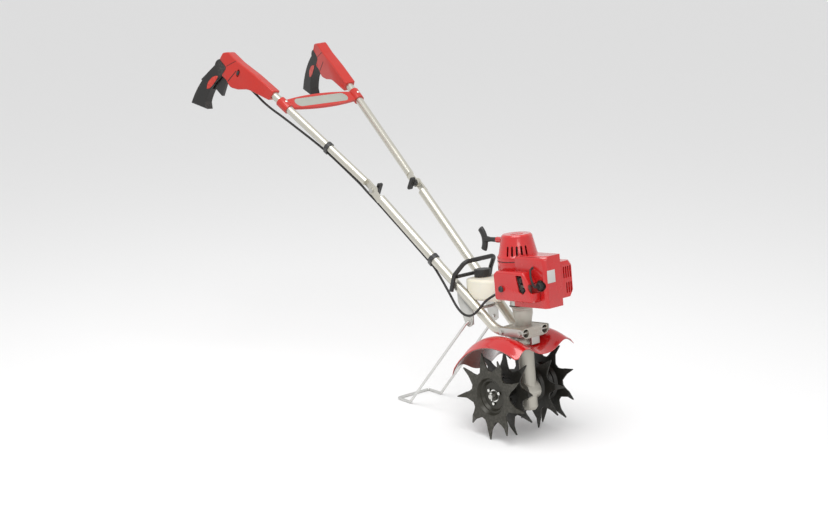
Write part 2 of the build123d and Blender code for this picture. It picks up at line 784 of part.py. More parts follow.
# ---- saddle clamp, fender and its bracket --------------------------------------------
with BuildPart() as handle_clamp:
    with BuildSketch(Plane.XY.offset(146)):
        with Locations((COLUMN_X, 0)):
            RectangleRounded(82, 2 * CLAMP_Y, 6)
    extrude(amount=27)
    with BuildSketch(upright(140)):
        Circle(COLUMN_RADIUS)
    extrude(amount=40, mode=Mode.SUBTRACT)
    with BuildSketch(Plane.YZ.offset(-20)):
        with Locations((CLAMP_Y, CLAMP_Z), (-CLAMP_Y, CLAMP_Z)):
            Circle(LOWER_TUBE)
    extrude(amount=120, mode=Mode.SUBTRACT)
    with BuildSketch(across(0)):
        with Locations((8, CLAMP_Z), (74, CLAMP_Z)):
            Circle(BOLT)
    extrude(amount=60, both=True, mode=Mode.SUBTRACT)
write(handle_clamp, "handle_clamp")

with BuildPart() as fender_bracket:
    for side in SIDES.values():
        with BuildSketch(across(side * (CLAMP_Y + LOWER_TUBE))):
            with Locations((COLUMN_X, CLAMP_Z + 2)):
                RectangleRounded(84, 20, 4)
        extrude(amount=-side * 3)
    with BuildSketch(across(0)):
        with Locations((8, CLAMP_Z), (74, CLAMP_Z)):
            Circle(BOLT)
    extrude(amount=60, both=True, mode=Mode.SUBTRACT)
    for x, foot in ((6, 133), (76, 127.5)):
        with BuildSketch(Plane.XY.offset(foot)):
            with Locations((x, 0)):
                RectangleRounded(11, 30, 3)
        extrude(amount=146 - foot)
write(fender_bracket, "fender_bracket")

FENDER_SECTIONS = ((-FENDER_Y, -46), (-88, -30), (-64, -26), (-34, -41), (0, -48),
                   (34, -41), (64, -26), (88, -30), (FENDER_Y, -46))
with BuildPart() as fender:
    for y, centre_z in FENDER_SECTIONS:
        with BuildSketch(across(y)):
            with BuildLine():
                rim = CenterArc((24, centre_z), FENDER_ARC, 59, 90)
                lining = CenterArc((24, centre_z), FENDER_ARC - FENDER_SHEET, 59, 90)
                Line(rim @ 0, lining @ 0)
                Line(rim @ 1, lining @ 1)
            make_face()
    loft()
    with BuildSketch(Plane.XY):
        with Locations((-10, 0)):
            RectangleRounded(260, 2 * FENDER_Y, 24)
    extrude(amount=300, mode=Mode.INTERSECT)
    with BuildSketch(upright(0)):
        RectangleRounded(56, 56, 16)
    extrude(amount=300, mode=Mode.SUBTRACT)
write(fender, "fender")

# ---- kickstand -----------------------------------------------------------------------
with BuildPart() as kickstand_bracket:
    for side in SIDES.values():
        with BuildSketch(across(side * 44)):
            with BuildLine():
                Polyline((-150, 259.5), (-96, 209), (-98, 172), (-113, 164), (-128, 172),
                         (-150, 230), close=True)
            make_face()
            with Locations((STAND_X, STAND_Z)):
                Circle(STAND_ROD + 0.1, mode=Mode.SUBTRACT)
        extrude(amount=-side * 3)
        with BuildSketch(across(side * 47)):
            with Locations((STAND_X, STAND_Z)):
                Circle(13)
                Circle(STAND_ROD + 0.1, mode=Mode.SUBTRACT)
        extrude(amount=-side * 1.5)
    with BuildSketch(across(0)):
        with Locations((-118, 206)):
            Circle(4)
    extrude(amount=44, both=True)
write(kickstand_bracket, "kickstand_bracket")

STAND_ROUTE = ((STAND_X, -41, STAND_Z), (STAND_X, -STAND_Y, STAND_Z), (FOOT_X, -58, FOOT_Z),
               (HEEL_X, -57, HEEL_Z), (HEEL_X, 57, HEEL_Z), (FOOT_X, 58, FOOT_Z),
               (STAND_X, STAND_Y, STAND_Z), (STAND_X, 41, STAND_Z))
kickstand = bent_rod(STAND_ROUTE, 6, STAND_ROD)
write(kickstand, "kickstand")

# ---- carrying handle -----------------------------------------------------------------
CARRY_ROUTE = ((-148, -69, 262), (-134, -67, 304), (-102, -54, 340), (-102, 54, 340),
               (-134, 67, 304), (-148, 69, 262))
carry_bow = bent_rod(CARRY_ROUTE, (24, 18, 18, 24), 6)
with BuildPart() as carry_handle:
    add(carry_bow.part)
    with BuildSketch(across(0)):
        with Locations((-131, 300)):
            Circle(5)
    extrude(amount=62, both=True)
write(carry_handle, "carry_handle")

# ---- brace between the upper tubes ---------------------------------------------------
brace_normal = Vector(BRACE_Z - HINGE_Z, 0, HINGE_X - BRACE_X).normalized()
BRACE = Plane((BRACE_X, 0, BRACE_Z), x_dir=(0, 1, 0), z_dir=brace_normal)
BRACE_REACH = 118.0
with BuildPart() as brace:
    with BuildSketch(BRACE):
        with BuildLine():
            ThreePointArc((-BRACE_REACH, 17), (0, 27), (BRACE_REACH, 17))
            Line((BRACE_REACH, 17), (BRACE_REACH, -17))
            ThreePointArc((BRACE_REACH, -17), (0, -27), (-BRACE_REACH, -17))
            Line((-BRACE_REACH, -17), (-BRACE_REACH, 17))
        make_face()
    extrude(amount=4, both=True)
    for side in SIDES.values():
        sleeve = Plane((BRACE_X, side * BRACE_Y, BRACE_Z), z_dir=upper_run(side))
        with BuildSketch(sleeve.offset(-19)):
            Circle(UPPER_TUBE + 4)
        extrude(amount=38)
        with BuildSketch(sleeve.offset(-40)):
            Circle(UPPER_TUBE)
        extrude(amount=80, mode=Mode.SUBTRACT)
    with BuildSketch(BRACE.offset(2.5)):
        SlotOverall(190, 34)
    extrude(amount=5, mode=Mode.SUBTRACT)
write(brace, "brace")

with BuildPart() as brace_plate:
    with BuildSketch(BRACE.offset(2.5)):
        SlotOverall(189.6, 33.6)
    extrude(amount=1.2)
write(brace_plate, "brace_plate")


# ---- grips ---------------------------------------------------------------------------
def grip_plane(side):
    """The plane down the middle of a grip: x up the tube, y towards its top edge."""
    along = upper_run(side)
    mouth = Vector(BRACE_X, side * BRACE_Y, BRACE_Z) + along * COLLAR_RUN
    square = Plane(mouth, x_dir=along, z_dir=along.cross(UP))
    cant = radians(CANT)
    leaned = square.z_dir * cos(cant) + square.y_dir * side * sin(cant)
    canted = Plane(mouth, x_dir=along, z_dir=leaned)
    return Plane(mouth + canted.y_dir * 5, x_dir=along, z_dir=leaned)


SHELL_CORNERS = {(0, 10): 3, (80, 7.5): 90, (150, 1): 60, (196, 2): 12, (212, -12): 10,
                 (211, -34): 4, (176, -39): 8, (179, -68): 4, (157, -68): 8, (134, -77): 24,
                 (108, -65): 28, (78, -42): 60, (0, -21): 4}
SWITCH_SPOT = (132, -25)
TRIGGER_PIVOT = (165, -64.5)
LOCKOUT_PIVOT = (213, -60)
PIN_RADIUS = 1.5
CABLE = 3.2
CABLE_UPPER = ((-822, -158, 821), (-795, -152.6, 798), (-775, -149, 779), (-745, -143, 757),
               (-712, -137, 737), (-660, -125, 700), (-610, -114, 665),
               (-568.1, -105.5, 634.3), (-530, -98.5, 603), (-490, -91, 569),
               (-455, -85.5, 540), (-436.6, -83.2, 521.4))
with BuildSketch() as shell_outline:
    with BuildLine():
        FilletPolyline(*SHELL_CORNERS, radius=list(SHELL_CORNERS.values()), close=True)
    make_face()

with BuildSketch() as pad_outline:
    with BuildLine():
        Line((174, -36), (206, -31))
        ThreePointArc((206, -31), (219, -46), (216, -60))
        ThreePointArc((216, -60), (231, -127), (226, -201))
        Line((226, -201), (168, -180))
        Line((168, -180), (182, -166))
        ThreePointArc((182, -166), (189, -130), (177, -66))
        Line((177, -66), (174, -36))
    make_face()


def moulded(plane, outline, half, edge):
    """A moulded body of this outline, with its long edges rounded over."""
    with BuildPart() as body:
        with BuildSketch(plane):
            add(outline.sketch)
        extrude(amount=half, both=True)
        sides = body.faces().sort_by(Axis(plane.origin, plane.z_dir))
        fillet(sides[0].edges() + sides[-1].edges(), edge)
    return body


def grip_shell(side, working):
    """The red pistol body. The working grip has a pocket for its trigger."""
    plane = grip_plane(side)
    body = moulded(plane, shell_outline, GRIP_HALF, 4)
    with BuildPart() as shell:
        add(body.part)
        with BuildSketch(Plane(plane.origin - plane.y_dir * 5, z_dir=plane.x_dir)):
            Circle(UPPER_TUBE)
        extrude(amount=SOCKET, mode=Mode.SUBTRACT)
        if working:
            with BuildSketch(plane):
                with BuildLine():
                    Polyline((153, -57), (184, -57), (190, -88), (149, -88), close=True)
                make_face()
            extrude(amount=6.5, both=True, mode=Mode.SUBTRACT)
            with BuildSketch(plane):
                with Locations(TRIGGER_PIVOT):
                    Circle(PIN_RADIUS)
            extrude(amount=8, both=True)
            with BuildSketch(plane.offset(side * GRIP_HALF)):
                with Locations(SWITCH_SPOT):
                    SlotOverall(22, 9, rotation=75)
            extrude(amount=-side * 5, mode=Mode.SUBTRACT)
            entry = Vector(CABLE_UPPER[1]) - Vector(CABLE_UPPER[0])
            with BuildSketch(Plane(CABLE_UPPER[0], z_dir=entry)):
                Circle(CABLE + 0.2)
            extrude(amount=30, mode=Mode.SUBTRACT)
    return shell


def grip_pad(side, working):
    """The black overmoulded handle, hollowed where the trigger and lever swing in."""
    plane = grip_plane(side)
    body = moulded(plane, pad_outline, GRIP_HALF - 1, 4)
    with BuildPart() as pad:
        add(body.part)
        with BuildSketch(plane):
            add(shell_outline.sketch)
        extrude(amount=GRIP_HALF, both=True, mode=Mode.SUBTRACT)
        if working:
            with BuildSketch(plane):
                with BuildLine():
                    Polyline((168, -59), (192, -59), (200, -124), (166, -124), close=True)
                make_face()
            extrude(amount=6.5, both=True, mode=Mode.SUBTRACT)
            with BuildSketch(plane):
                with BuildLine():
                    Polyline((204, -53), (230, -53), (248, -134), (219, -134), close=True)
                make_face()
            extrude(amount=7, both=True, mode=Mode.SUBTRACT)
            with BuildSketch(plane):
                with Locations(LOCKOUT_PIVOT):
                    Circle(PIN_RADIUS)
            extrude(amount=8.5, both=True)
    return pad


for name, side in SIDES.items():
    working = name == "right"
    write(grip_shell(side, working), f"grip_shell_{name}")
    write(grip_pad(side, working), f"grip_pad_{name}")

WORKING = grip_plane(SIDES["right"])
with BuildPart() as throttle_trigger:
    with BuildSketch(WORKING):
        with BuildLine():
            Polyline((158, -60), (173, -60), (178, -76), (180, -116), (149, -119), (160, -74),
                     close=True)
        make_face()
        with Locations(TRIGGER_PIVOT):
            Circle(PIN_RADIUS + 0.1, mode=Mode.SUBTRACT)
    extrude(amount=5.8, both=True)
write(throttle_trigger, "throttle_trigger")

with BuildPart() as lockout_lever:
    with BuildSketch(WORKING):
        with BuildLine():
            Polyline((208.5, -56), (219, -55), (239, -126), (230, -130), (223, -102),
                     close=True)
        make_face()
        with Locations(LOCKOUT_PIVOT):
            Circle(PIN_RADIUS + 0.1, mode=Mode.SUBTRACT)
    extrude(amount=6.3, both=True)
write(lockout_lever, "lockout_lever")

with BuildPart() as stop_switch:
    with BuildSketch(WORKING.offset(-GRIP_HALF + 4.8)):
        with Locations(SWITCH_SPOT):
            SlotOverall(12, 7.6, rotation=75)
    extrude(amount=-7.5)
write(stop_switch, "stop_switch")

# ---- throttle cable and its clips ----------------------------------------------------
CABLE_LOWER = ((-436, -83, 520.9), (-397, -76.6, 485.8), (-361, -72.4, 451.7),
               (-324, -68, 417.6), (-288, -64, 383.6), (-262, -60.5, 358.5),
               (-241.6, -58.5, 339.9), (-221.2, -56.1, 320.9), (-185, -62, 284),
               (-160, -64, 252), (-135, -66, 218),
               (-108, -67, 199), (-78, -66, 200), (-50, -64, 222), (-24, -61, 248),
               (16, -54, 266))


def cable(points):
    """A cable along its route, each bend as wide as its two runs allow."""
    stops = [Vector(point) for point in points]
    bends = []
    for before, corner, after in zip(stops, stops[1:], stops[2:]):
        shorter = min((corner - before).length, (after - corner).length)
        turn = (corner - before).get_angle(after - corner)
        bends.append(0.45 * shorter / sin(radians(turn / 2)) * cos(radians(turn / 2)))
    return bent_rod(points, bends, CABLE)


write(cable(CABLE_UPPER), "throttle_cable_upper")
write(cable(CABLE_LOWER), "throttle_cable_lower")


def cable_clip(tube_centre, tube_direction, tube_radius, cable_centre):
    """A moulded clip: a band round the tube with an eye for the cable."""
    middle = Plane(tube_centre, z_dir=tube_direction)
    eye = middle.to_local_coords(Vector(cable_centre))
    with BuildPart() as clip:
        with BuildSketch(middle.offset(-6)):
            Circle(tube_radius + 3)
            with Locations((eye.X, eye.Y)):
                Circle(CABLE + 3)
            make_hull()
            Circle(tube_radius, mode=Mode.SUBTRACT)
            with Locations((eye.X, eye.Y)):
                Circle(CABLE + 0.3, mode=Mode.SUBTRACT)
        extrude(amount=12)
    return clip


rise = upper_run(-1)
clip_spot = Vector(HINGE_X, -UPPER_Y, HINGE_Z) + rise * 190
write(cable_clip(clip_spot, rise, UPPER_TUBE, (-568.1, -105.5, 634.3)), "cable_clip_upper")
fall = Vector(lower_run.X, -lower_run.Y, lower_run.Z)
lower_spot = Vector(HINGE_X, -HINGE_Y, HINGE_Z) + fall * 268
write(cable_clip(lower_spot, fall, LOWER_TUBE, (-231.4, -57.3, 330.4)), "cable_clip_lower")
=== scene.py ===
# %% [markdown]
# # A small garden tiller
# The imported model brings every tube, gear case and tine with its true size. This lesson
# gives each of them a finish, softens the moulded covers, and adds the small fittings.

# %% Load the frame
import json
from math import cos, pi, radians, sin

import bmesh
import bpy
from mathutils import Matrix, Vector

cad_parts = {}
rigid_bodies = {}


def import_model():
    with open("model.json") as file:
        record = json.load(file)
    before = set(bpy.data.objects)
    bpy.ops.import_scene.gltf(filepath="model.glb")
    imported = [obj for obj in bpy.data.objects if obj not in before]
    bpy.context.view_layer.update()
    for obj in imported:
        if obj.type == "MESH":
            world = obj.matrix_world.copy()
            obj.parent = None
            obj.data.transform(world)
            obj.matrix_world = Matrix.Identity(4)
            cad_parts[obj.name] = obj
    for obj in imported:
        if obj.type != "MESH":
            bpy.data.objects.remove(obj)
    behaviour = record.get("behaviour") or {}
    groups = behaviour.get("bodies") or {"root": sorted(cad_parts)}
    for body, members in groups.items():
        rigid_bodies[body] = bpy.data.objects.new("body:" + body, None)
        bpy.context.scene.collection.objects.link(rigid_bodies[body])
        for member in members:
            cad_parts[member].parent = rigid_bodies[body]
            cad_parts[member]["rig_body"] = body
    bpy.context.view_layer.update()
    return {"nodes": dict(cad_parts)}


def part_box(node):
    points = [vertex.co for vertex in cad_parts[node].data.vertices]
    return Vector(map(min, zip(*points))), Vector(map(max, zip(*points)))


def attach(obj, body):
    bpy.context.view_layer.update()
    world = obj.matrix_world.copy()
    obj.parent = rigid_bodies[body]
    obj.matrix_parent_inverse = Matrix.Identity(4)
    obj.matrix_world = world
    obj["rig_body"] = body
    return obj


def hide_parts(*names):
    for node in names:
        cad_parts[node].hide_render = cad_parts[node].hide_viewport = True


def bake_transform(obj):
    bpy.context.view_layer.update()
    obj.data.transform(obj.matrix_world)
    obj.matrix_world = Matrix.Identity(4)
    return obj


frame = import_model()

nodes = frame["nodes"]
print("nodes", len(nodes))

# %% [markdown]
# ## Finding places on the machine
# The machine leans back on its kickstand, but its parts are square to the gear column.
# It is simplest to think of a place as millimetres from the tine axle, X forward and Z up
# the column, and to lean that place back with one matrix.

# %% Places on the leaning machine
LEAN = radians(7.5)
MM = 0.001
axle = (Vector(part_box("tine_shaft")[0]) + Vector(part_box("tine_shaft")[1])) / 2
PARKED = Matrix.Translation(axle) @ Matrix.Rotation(-LEAN, 4, "Y")


def spot(x, y, z):
    """A point of the upright machine, in millimetres from the tine axle, as parked."""
    return PARKED @ (Vector((x, y, z)) * MM)


def heading(x, y, z):
    """A direction of the upright machine, as parked."""
    return (PARKED.to_3x3() @ Vector((x, y, z))).normalized()


def facing(point, direction, across=(0, 1, 0)):
    """A place whose Z runs along a direction, with its X near another."""
    up = Vector(direction).normalized()
    side = Vector(across)
    side = (side - up * side.dot(up)).normalized()
    turn = Matrix((side, up.cross(side), up)).transposed()
    return Matrix.Translation(point) @ turn.to_4x4()


print("axle", tuple(round(c, 3) for c in axle))

# %% [markdown]
# ## Shared surface effects
# Nearly every surface has a fine grain and a little wear. Each effect is a node group with
# named sockets, so that every finish can set its own scale and strength.


# %% Node group helpers
def new_group(name, inputs, outputs):
    """An empty node group with these float inputs and outputs."""
    group = bpy.data.node_groups.new(name, "ShaderNodeTree")
    for title, value in inputs.items():
        socket = group.interface.new_socket(title, in_out="INPUT", socket_type="NodeSocketFloat")
        socket.default_value = value
    for title in outputs:
        group.interface.new_socket(title, in_out="OUTPUT", socket_type="NodeSocketFloat")
    return group, group.nodes.new("NodeGroupInput"), group.nodes.new("NodeGroupOutput")


def add_node(tree, kind, **settings):
    """A node with its properties and plain inputs set."""
    node = tree.nodes.new(kind)
    for title, value in settings.items():
        if hasattr(node, title):
            setattr(node, title, value)
        else:
            node.inputs[title.replace("_", " ")].default_value = value
    return node


def link(tree, source, target):
    tree.links.new(source, target)


# %% Grain: two sizes of noise, for cast and moulded skins
grain, g_in, g_out = new_group("grain", {"Scale": 900.0, "Blotches": 30.0}, ["Height", "Mottle"])
coords = add_node(grain, "ShaderNodeTexCoord")
fine = add_node(grain, "ShaderNodeTexNoise", Detail=3.0)
broad = add_node(grain, "ShaderNodeTexNoise", Detail=4.0, Roughness=0.6)
link(grain, coords.outputs["Object"], fine.inputs["Vector"])
link(grain, coords.outputs["Object"], broad.inputs["Vector"])
link(grain, g_in.outputs["Scale"], fine.inputs["Scale"])
link(grain, g_in.outputs["Blotches"], broad.inputs["Scale"])
link(grain, fine.outputs["Fac"], g_out.inputs["Height"])
link(grain, broad.outputs["Fac"], g_out.inputs["Mottle"])

# %% Wear: rubbed edges found from how pointed the surface is
wear, w_in, w_out = new_group("wear", {"Amount": 0.5}, ["Mask"])
shape = add_node(wear, "ShaderNodeNewGeometry")
wear_coords = add_node(wear, "ShaderNodeTexCoord")
patches = add_node(wear, "ShaderNodeTexNoise", Scale=160.0, Detail=4.0)
edges = add_node(wear, "ShaderNodeMapRange", From_Min=0.53, From_Max=0.62)
broken = add_node(wear, "ShaderNodeMapRange", From_Min=0.4, From_Max=0.65)
both = add_node(wear, "ShaderNodeMath", operation="MULTIPLY")
scaled = add_node(wear, "ShaderNodeMath", operation="MULTIPLY")
link(wear, shape.outputs["Pointiness"], edges.inputs["Value"])
link(wear, wear_coords.outputs["Object"], patches.inputs["Vector"])
link(wear, patches.outputs["Fac"], broken.inputs["Value"])
link(wear, edges.outputs["Result"], both.inputs[0])
link(wear, broken.outputs["Result"], both.inputs[1])
link(wear, both.outputs["Value"], scaled.inputs[0])
link(wear, w_in.outputs["Amount"], scaled.inputs[1])
link(wear, scaled.outputs["Value"], w_out.inputs["Mask"])

# %% [markdown]
# ## Finishes
# One recipe serves all of them: two close colours mixed by the blotches, roughness that
# follows the same blotches, a bump from the fine grain, and worn edges in a third colour.


# %% The recipe for a finish
def finish(name, colour, second, rough, metal=0.0, bump=0.1, scale=900.0, blotches=30.0,
           worn=None, amount=0.0, coat=0.0, spread=0.08):
    """A material: mottled colour, uneven roughness, fine bump and rubbed edges."""
    material = bpy.data.materials.new(name)
    material.use_nodes = True
    tree = material.node_tree
    skin = tree.nodes["Principled BSDF"]
    skin.inputs["Metallic"].default_value = metal
    skin.inputs["Coat Weight"].default_value = coat
    skin.inputs["Coat Roughness"].default_value = 0.06
    texture = tree.nodes.new("ShaderNodeGroup")
    texture.node_tree = grain
    texture.inputs["Scale"].default_value = scale
    texture.inputs["Blotches"].default_value = blotches
    mix = add_node(tree, "ShaderNodeMix", data_type="RGBA")
    mix.inputs[6].default_value = (*colour, 1)
    mix.inputs[7].default_value = (*second, 1)
    link(tree, texture.outputs["Mottle"], mix.inputs[0])
    top = mix.outputs[2]
    if worn:
        rub = tree.nodes.new("ShaderNodeGroup")
        rub.node_tree = wear
        rub.inputs["Amount"].default_value = amount
        over = add_node(tree, "ShaderNodeMix", data_type="RGBA")
        over.inputs[7].default_value = (*worn, 1)
        link(tree, rub.outputs["Mask"], over.inputs[0])
        link(tree, top, over.inputs[6])
        top = over.outputs[2]
    link(tree, top, skin.inputs["Base Color"])
    sheen = add_node(tree, "ShaderNodeMapRange", From_Min=0.3, From_Max=0.7)
    sheen.inputs["To Min"].default_value = rough - spread / 2
    sheen.inputs["To Max"].default_value = rough + spread
    link(tree, texture.outputs["Mottle"], sheen.inputs["Value"])
    link(tree, sheen.outputs["Result"], skin.inputs["Roughness"])
    relief = add_node(tree, "ShaderNodeBump", Strength=bump, Distance=0.0004)
    link(tree, texture.outputs["Height"], relief.inputs["Height"])
    link(tree, relief.outputs["Normal"], skin.inputs["Normal"])
    return material


# %% Metals
cast_alloy = finish("cast_alloy", (0.42, 0.40, 0.35), (0.56, 0.54, 0.48), 0.48, metal=0.75,
                    bump=0.5, scale=1400, worn=(0.75, 0.74, 0.7), amount=0.5)
steel = finish("zinc_steel", (0.60, 0.60, 0.58), (0.48, 0.47, 0.43), 0.32, metal=0.9, bump=0.1)
bright_steel_and_highlight = finish("bright_steel_and_highlight", (0.86, 0.86, 0.83), (0.74, 0.74, 0.7), 0.22, metal=0.9,
                      bump=0.05)
bronze = finish("bearing_bronze", (0.45, 0.27, 0.10), (0.55, 0.36, 0.15), 0.4, metal=0.9)
tube_metal = finish("tube_metal", (0.66, 0.64, 0.57), (0.56, 0.54, 0.47), 0.30, metal=0.85,
                    bump=0.08, scale=1800, blotches=14, spread=0.12)
stand_metal = finish("stand_wire", (0.74, 0.74, 0.72), (0.6, 0.6, 0.58), 0.28, metal=0.85)
tine_black = finish("tine_enamel", (0.012, 0.012, 0.010), (0.035, 0.033, 0.027), 0.36,
                    metal=0.2, bump=0.25, scale=700, worn=(0.16, 0.15, 0.13), amount=0.2)
tine_olive = finish("tine_worn_enamel", (0.016, 0.015, 0.010), (0.040, 0.037, 0.026), 0.33,
                    metal=0.3, bump=0.3, scale=700, worn=(0.20, 0.19, 0.16), amount=0.25)
muffler_steel = finish("muffler_steel", (0.16, 0.14, 0.12), (0.30, 0.27, 0.23), 0.42, metal=0.8,
                       bump=0.3)

# %% Paints, plastics and rubber
red_cover = finish("red_cover", (0.48, 0.006, 0.008), (0.56, 0.010, 0.010), 0.24, bump=0.06,
                   scale=500, coat=0.6, worn=(0.75, 0.12, 0.09), amount=0.35)
grip_red = finish("grip_red", (0.50, 0.020, 0.009), (0.45, 0.014, 0.008), 0.34, bump=0.1,
                  scale=800, coat=0.2, worn=(0.8, 0.16, 0.1), amount=0.3)
black_plastic = finish("black_plastic", (0.012, 0.012, 0.012), (0.026, 0.025, 0.024), 0.42,
                       bump=0.3, scale=1300, worn=(0.10, 0.10, 0.10), amount=0.5)
black_rubber = finish("black_rubber", (0.010, 0.010, 0.010), (0.022, 0.020, 0.018), 0.55,
                      bump=0.5, scale=1100, worn=(0.07, 0.065, 0.06), amount=0.6)
plate_grey = finish("plate_grey", (0.34, 0.35, 0.31), (0.44, 0.45, 0.40), 0.4, metal=0.3,
                    bump=0.2, scale=1500)
pale_border = finish("pale_border", (0.72, 0.70, 0.64), (0.66, 0.64, 0.58), 0.4)
label_grey = finish("label_grey", (0.50, 0.50, 0.48), (0.58, 0.57, 0.54), 0.38)
shadow_black = finish("shadow_black", (0.006, 0.006, 0.006), (0.012, 0.011, 0.010), 0.6)
rope_black = finish("starter_rope", (0.015, 0.015, 0.016), (0.05, 0.05, 0.05), 0.7, bump=0.9,
                    scale=600, blotches=500)

# %% [markdown]
# ## Milky tank plastic
# Blow-moulded polyethylene lets light into its skin. A little subsurface scattering gives
# the soft glow that a plain cream paint would lack.

# %% Tank
tank_plastic = finish("tank_plastic", (0.74, 0.70, 0.58), (0.80, 0.77, 0.66), 0.36, bump=0.15,
                      scale=700, blotches=18)
tank_skin = tank_plastic.node_tree.nodes["Principled BSDF"]
tank_skin.inputs["Subsurface Weight"].default_value = 0.25
tank_skin.inputs["Subsurface Radius"].default_value = (0.012, 0.010, 0.006)

# %% [markdown]
# ## The fender's red top and painted shade underneath
# The top is glossy red enamel. The underside is painted a dull red-brown as painted
# shade. The surface's own direction tells them apart, so one material does both.

# %% Fender enamel
fender_red = finish("fender_red", (0.50, 0.006, 0.008), (0.58, 0.010, 0.010), 0.20, bump=0.04,
                    scale=400, coat=0.8, worn=(0.70, 0.12, 0.1), amount=0.3)
tree = fender_red.node_tree
skin = tree.nodes["Principled BSDF"]
top_colour = skin.inputs["Base Color"].links[0].from_socket
where = add_node(tree, "ShaderNodeTexCoord")
offset = add_node(tree, "ShaderNodeVectorMath", operation="SUBTRACT")
offset.inputs[1].default_value = spot(24, 0, -36)
side_on = add_node(tree, "ShaderNodeNewGeometry")
outward = add_node(tree, "ShaderNodeVectorMath", operation="DOT_PRODUCT")
flat = add_node(tree, "ShaderNodeVectorMath", operation="MULTIPLY")
flat.inputs[1].default_value = (1, 0, 1)
painted_shade_side = add_node(tree, "ShaderNodeMath", operation="LESS_THAN")
painted_shade_side.inputs[1].default_value = 0.0
# Painted shade: faces turned towards the fender's middle get a dark red-brown instead of the red.
two = add_node(tree, "ShaderNodeMix", data_type="RGBA")
two.inputs[7].default_value = (0.17, 0.035, 0.022, 1)
link(tree, where.outputs["Object"], offset.inputs[0])
link(tree, offset.outputs["Vector"], flat.inputs[0])
link(tree, flat.outputs["Vector"], outward.inputs[0])
link(tree, side_on.outputs["True Normal"], outward.inputs[1])
link(tree, outward.outputs["Value"], painted_shade_side.inputs[0])
link(tree, painted_shade_side.outputs["Value"], two.inputs[0])
link(tree, top_colour, two.inputs[6])
link(tree, two.outputs[2], skin.inputs["Base Color"])

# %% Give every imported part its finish
FINISHES = {
    cast_alloy: "gear_housing case_cover clutch_bowl crankcase cylinder handle_clamp "
                "carburettor",
    steel: "fasteners worm_shaft crankshaft tine_shaft fender_bracket kickstand_bracket "
           "starter_pulley clutch_drum flywheel spark_plug",
    bright_steel_and_highlight: "tine_pins",
    bronze: "bearings worm_wheel",
    tube_metal: "lower_tube_right lower_tube_left upper_tube_right upper_tube_left",
    stand_metal: "kickstand",
    tine_olive: "outer_tine_right",
    tine_black: "outer_tine_left inner_tine_right inner_tine_left",
    red_cover: "fan_housing engine_cover recoil_cover muffler_guard air_cleaner_cover",
    muffler_steel: "muffler",
    fender_red: "fender",
    grip_red: "grip_shell_right grip_shell_left brace",
    black_plastic: "carry_handle fuel_cap cable_clip_lower cable_clip_upper fold_knob_right "
                   "fold_knob_left starter_handle choke_lever throttle_trigger "
                   "lockout_lever stop_switch",
    black_rubber: "grip_pad_right grip_pad_left plug_boot ignition_lead primer_bulb "
                  "throttle_cable_upper throttle_cable_lower",
    tank_plastic: "fuel_tank",
    plate_grey: "brace_plate",
    rope_black: "starter_rope",
}
for material, members in FINISHES.items():
    for member in members.split():
        mesh = nodes[member].data
        mesh.materials.clear()
        mesh.materials.append(material)
print("finishes", len(FINISHES))

# %% [markdown]
# ## Softening the mouldings
# A moulded or pressed cover has no knife edges: every corner catches a thin highlight. A
# copy of the imported shape is merged and gets a small round on each sharp edge, then stands
# in for the plain one, which stays as the collision shape, hidden.

# %% Rounded copies
SOFT_EDGES = {"engine_cover": 2.2, "recoil_cover": 1.6, "air_cleaner_cover": 1.6,
              "muffler_guard": 1.0, "fan_housing": 1.0, "fuel_tank": 1.0, "fender": 0.5,
              "gear_housing": 1.2, "handle_clamp": 1.5, "crankcase": 2.0, "clutch_bowl": 1.0,
              "carburettor": 0.8, "brace": 1.0,
              "grip_shell_right": 0.8, "grip_shell_left": 0.8, "grip_pad_right": 0.8,
              "grip_pad_left": 0.8, "throttle_trigger": 1.5, "lockout_lever": 1.5,
              "starter_handle": 0.6, "fuel_cap": 0.5, "case_cover": 0.8}


def merged_copy(node, name):
    """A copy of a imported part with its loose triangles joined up."""
    bm = bmesh.new()
    bm.from_mesh(nodes[node].data)
    bmesh.ops.remove_doubles(bm, verts=bm.verts, dist=2e-5)
    flats = [e for e in bm.edges if len(e.link_faces) == 2 and e.calc_face_angle(1) < 0.01]
    bmesh.ops.dissolve_edges(bm, edges=flats, use_verts=False)
    mesh = bpy.data.meshes.new(name)
    bm.to_mesh(mesh)
    bm.free()
    return mesh


for node, edge in SOFT_EDGES.items():
    mesh = merged_copy(node, f"soft_{node}")
    mesh.materials.append(nodes[node].data.materials[0])
    mesh.shade_smooth()
    soft = bpy.data.objects.new(f"soft_{node}", mesh)
    bpy.context.collection.objects.link(soft)
    rounding = soft.modifiers.new("rounding", "BEVEL")
    rounding.width = edge * MM
    rounding.segments = 3
    rounding.limit_method = "ANGLE"
    rounding.angle_limit = radians(28)
    rounding.harden_normals = True
    rounding.use_clamp_overlap = True
    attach(soft, nodes[node]["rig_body"])
    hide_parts(node)
print("softened", len(SOFT_EDGES))

# %% [markdown]
# ## Making small pieces
# Three helpers make all the fittings: a turned piece spun from its half profile, a flat
# plate cut from an outline, and a tube that follows a smooth curve.


# %% Helpers for new pieces
def settle(name, bm, material, body):
    """Turn a finished shape into a piece that rides on a body, if one is given."""
    bmesh.ops.remove_doubles(bm, verts=bm.verts, dist=1e-6)
    bmesh.ops.recalc_face_normals(bm, faces=bm.faces)
    mesh = bpy.data.meshes.new(name)
    bm.to_mesh(mesh)
    bm.free()
    mesh.materials.append(material)
    mesh.shade_smooth()
    made = bpy.data.objects.new(name, mesh)
    bpy.context.collection.objects.link(made)
    made.modifiers.new("split", "EDGE_SPLIT").split_angle = radians(35)
    if body:
        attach(made, body)
    return made


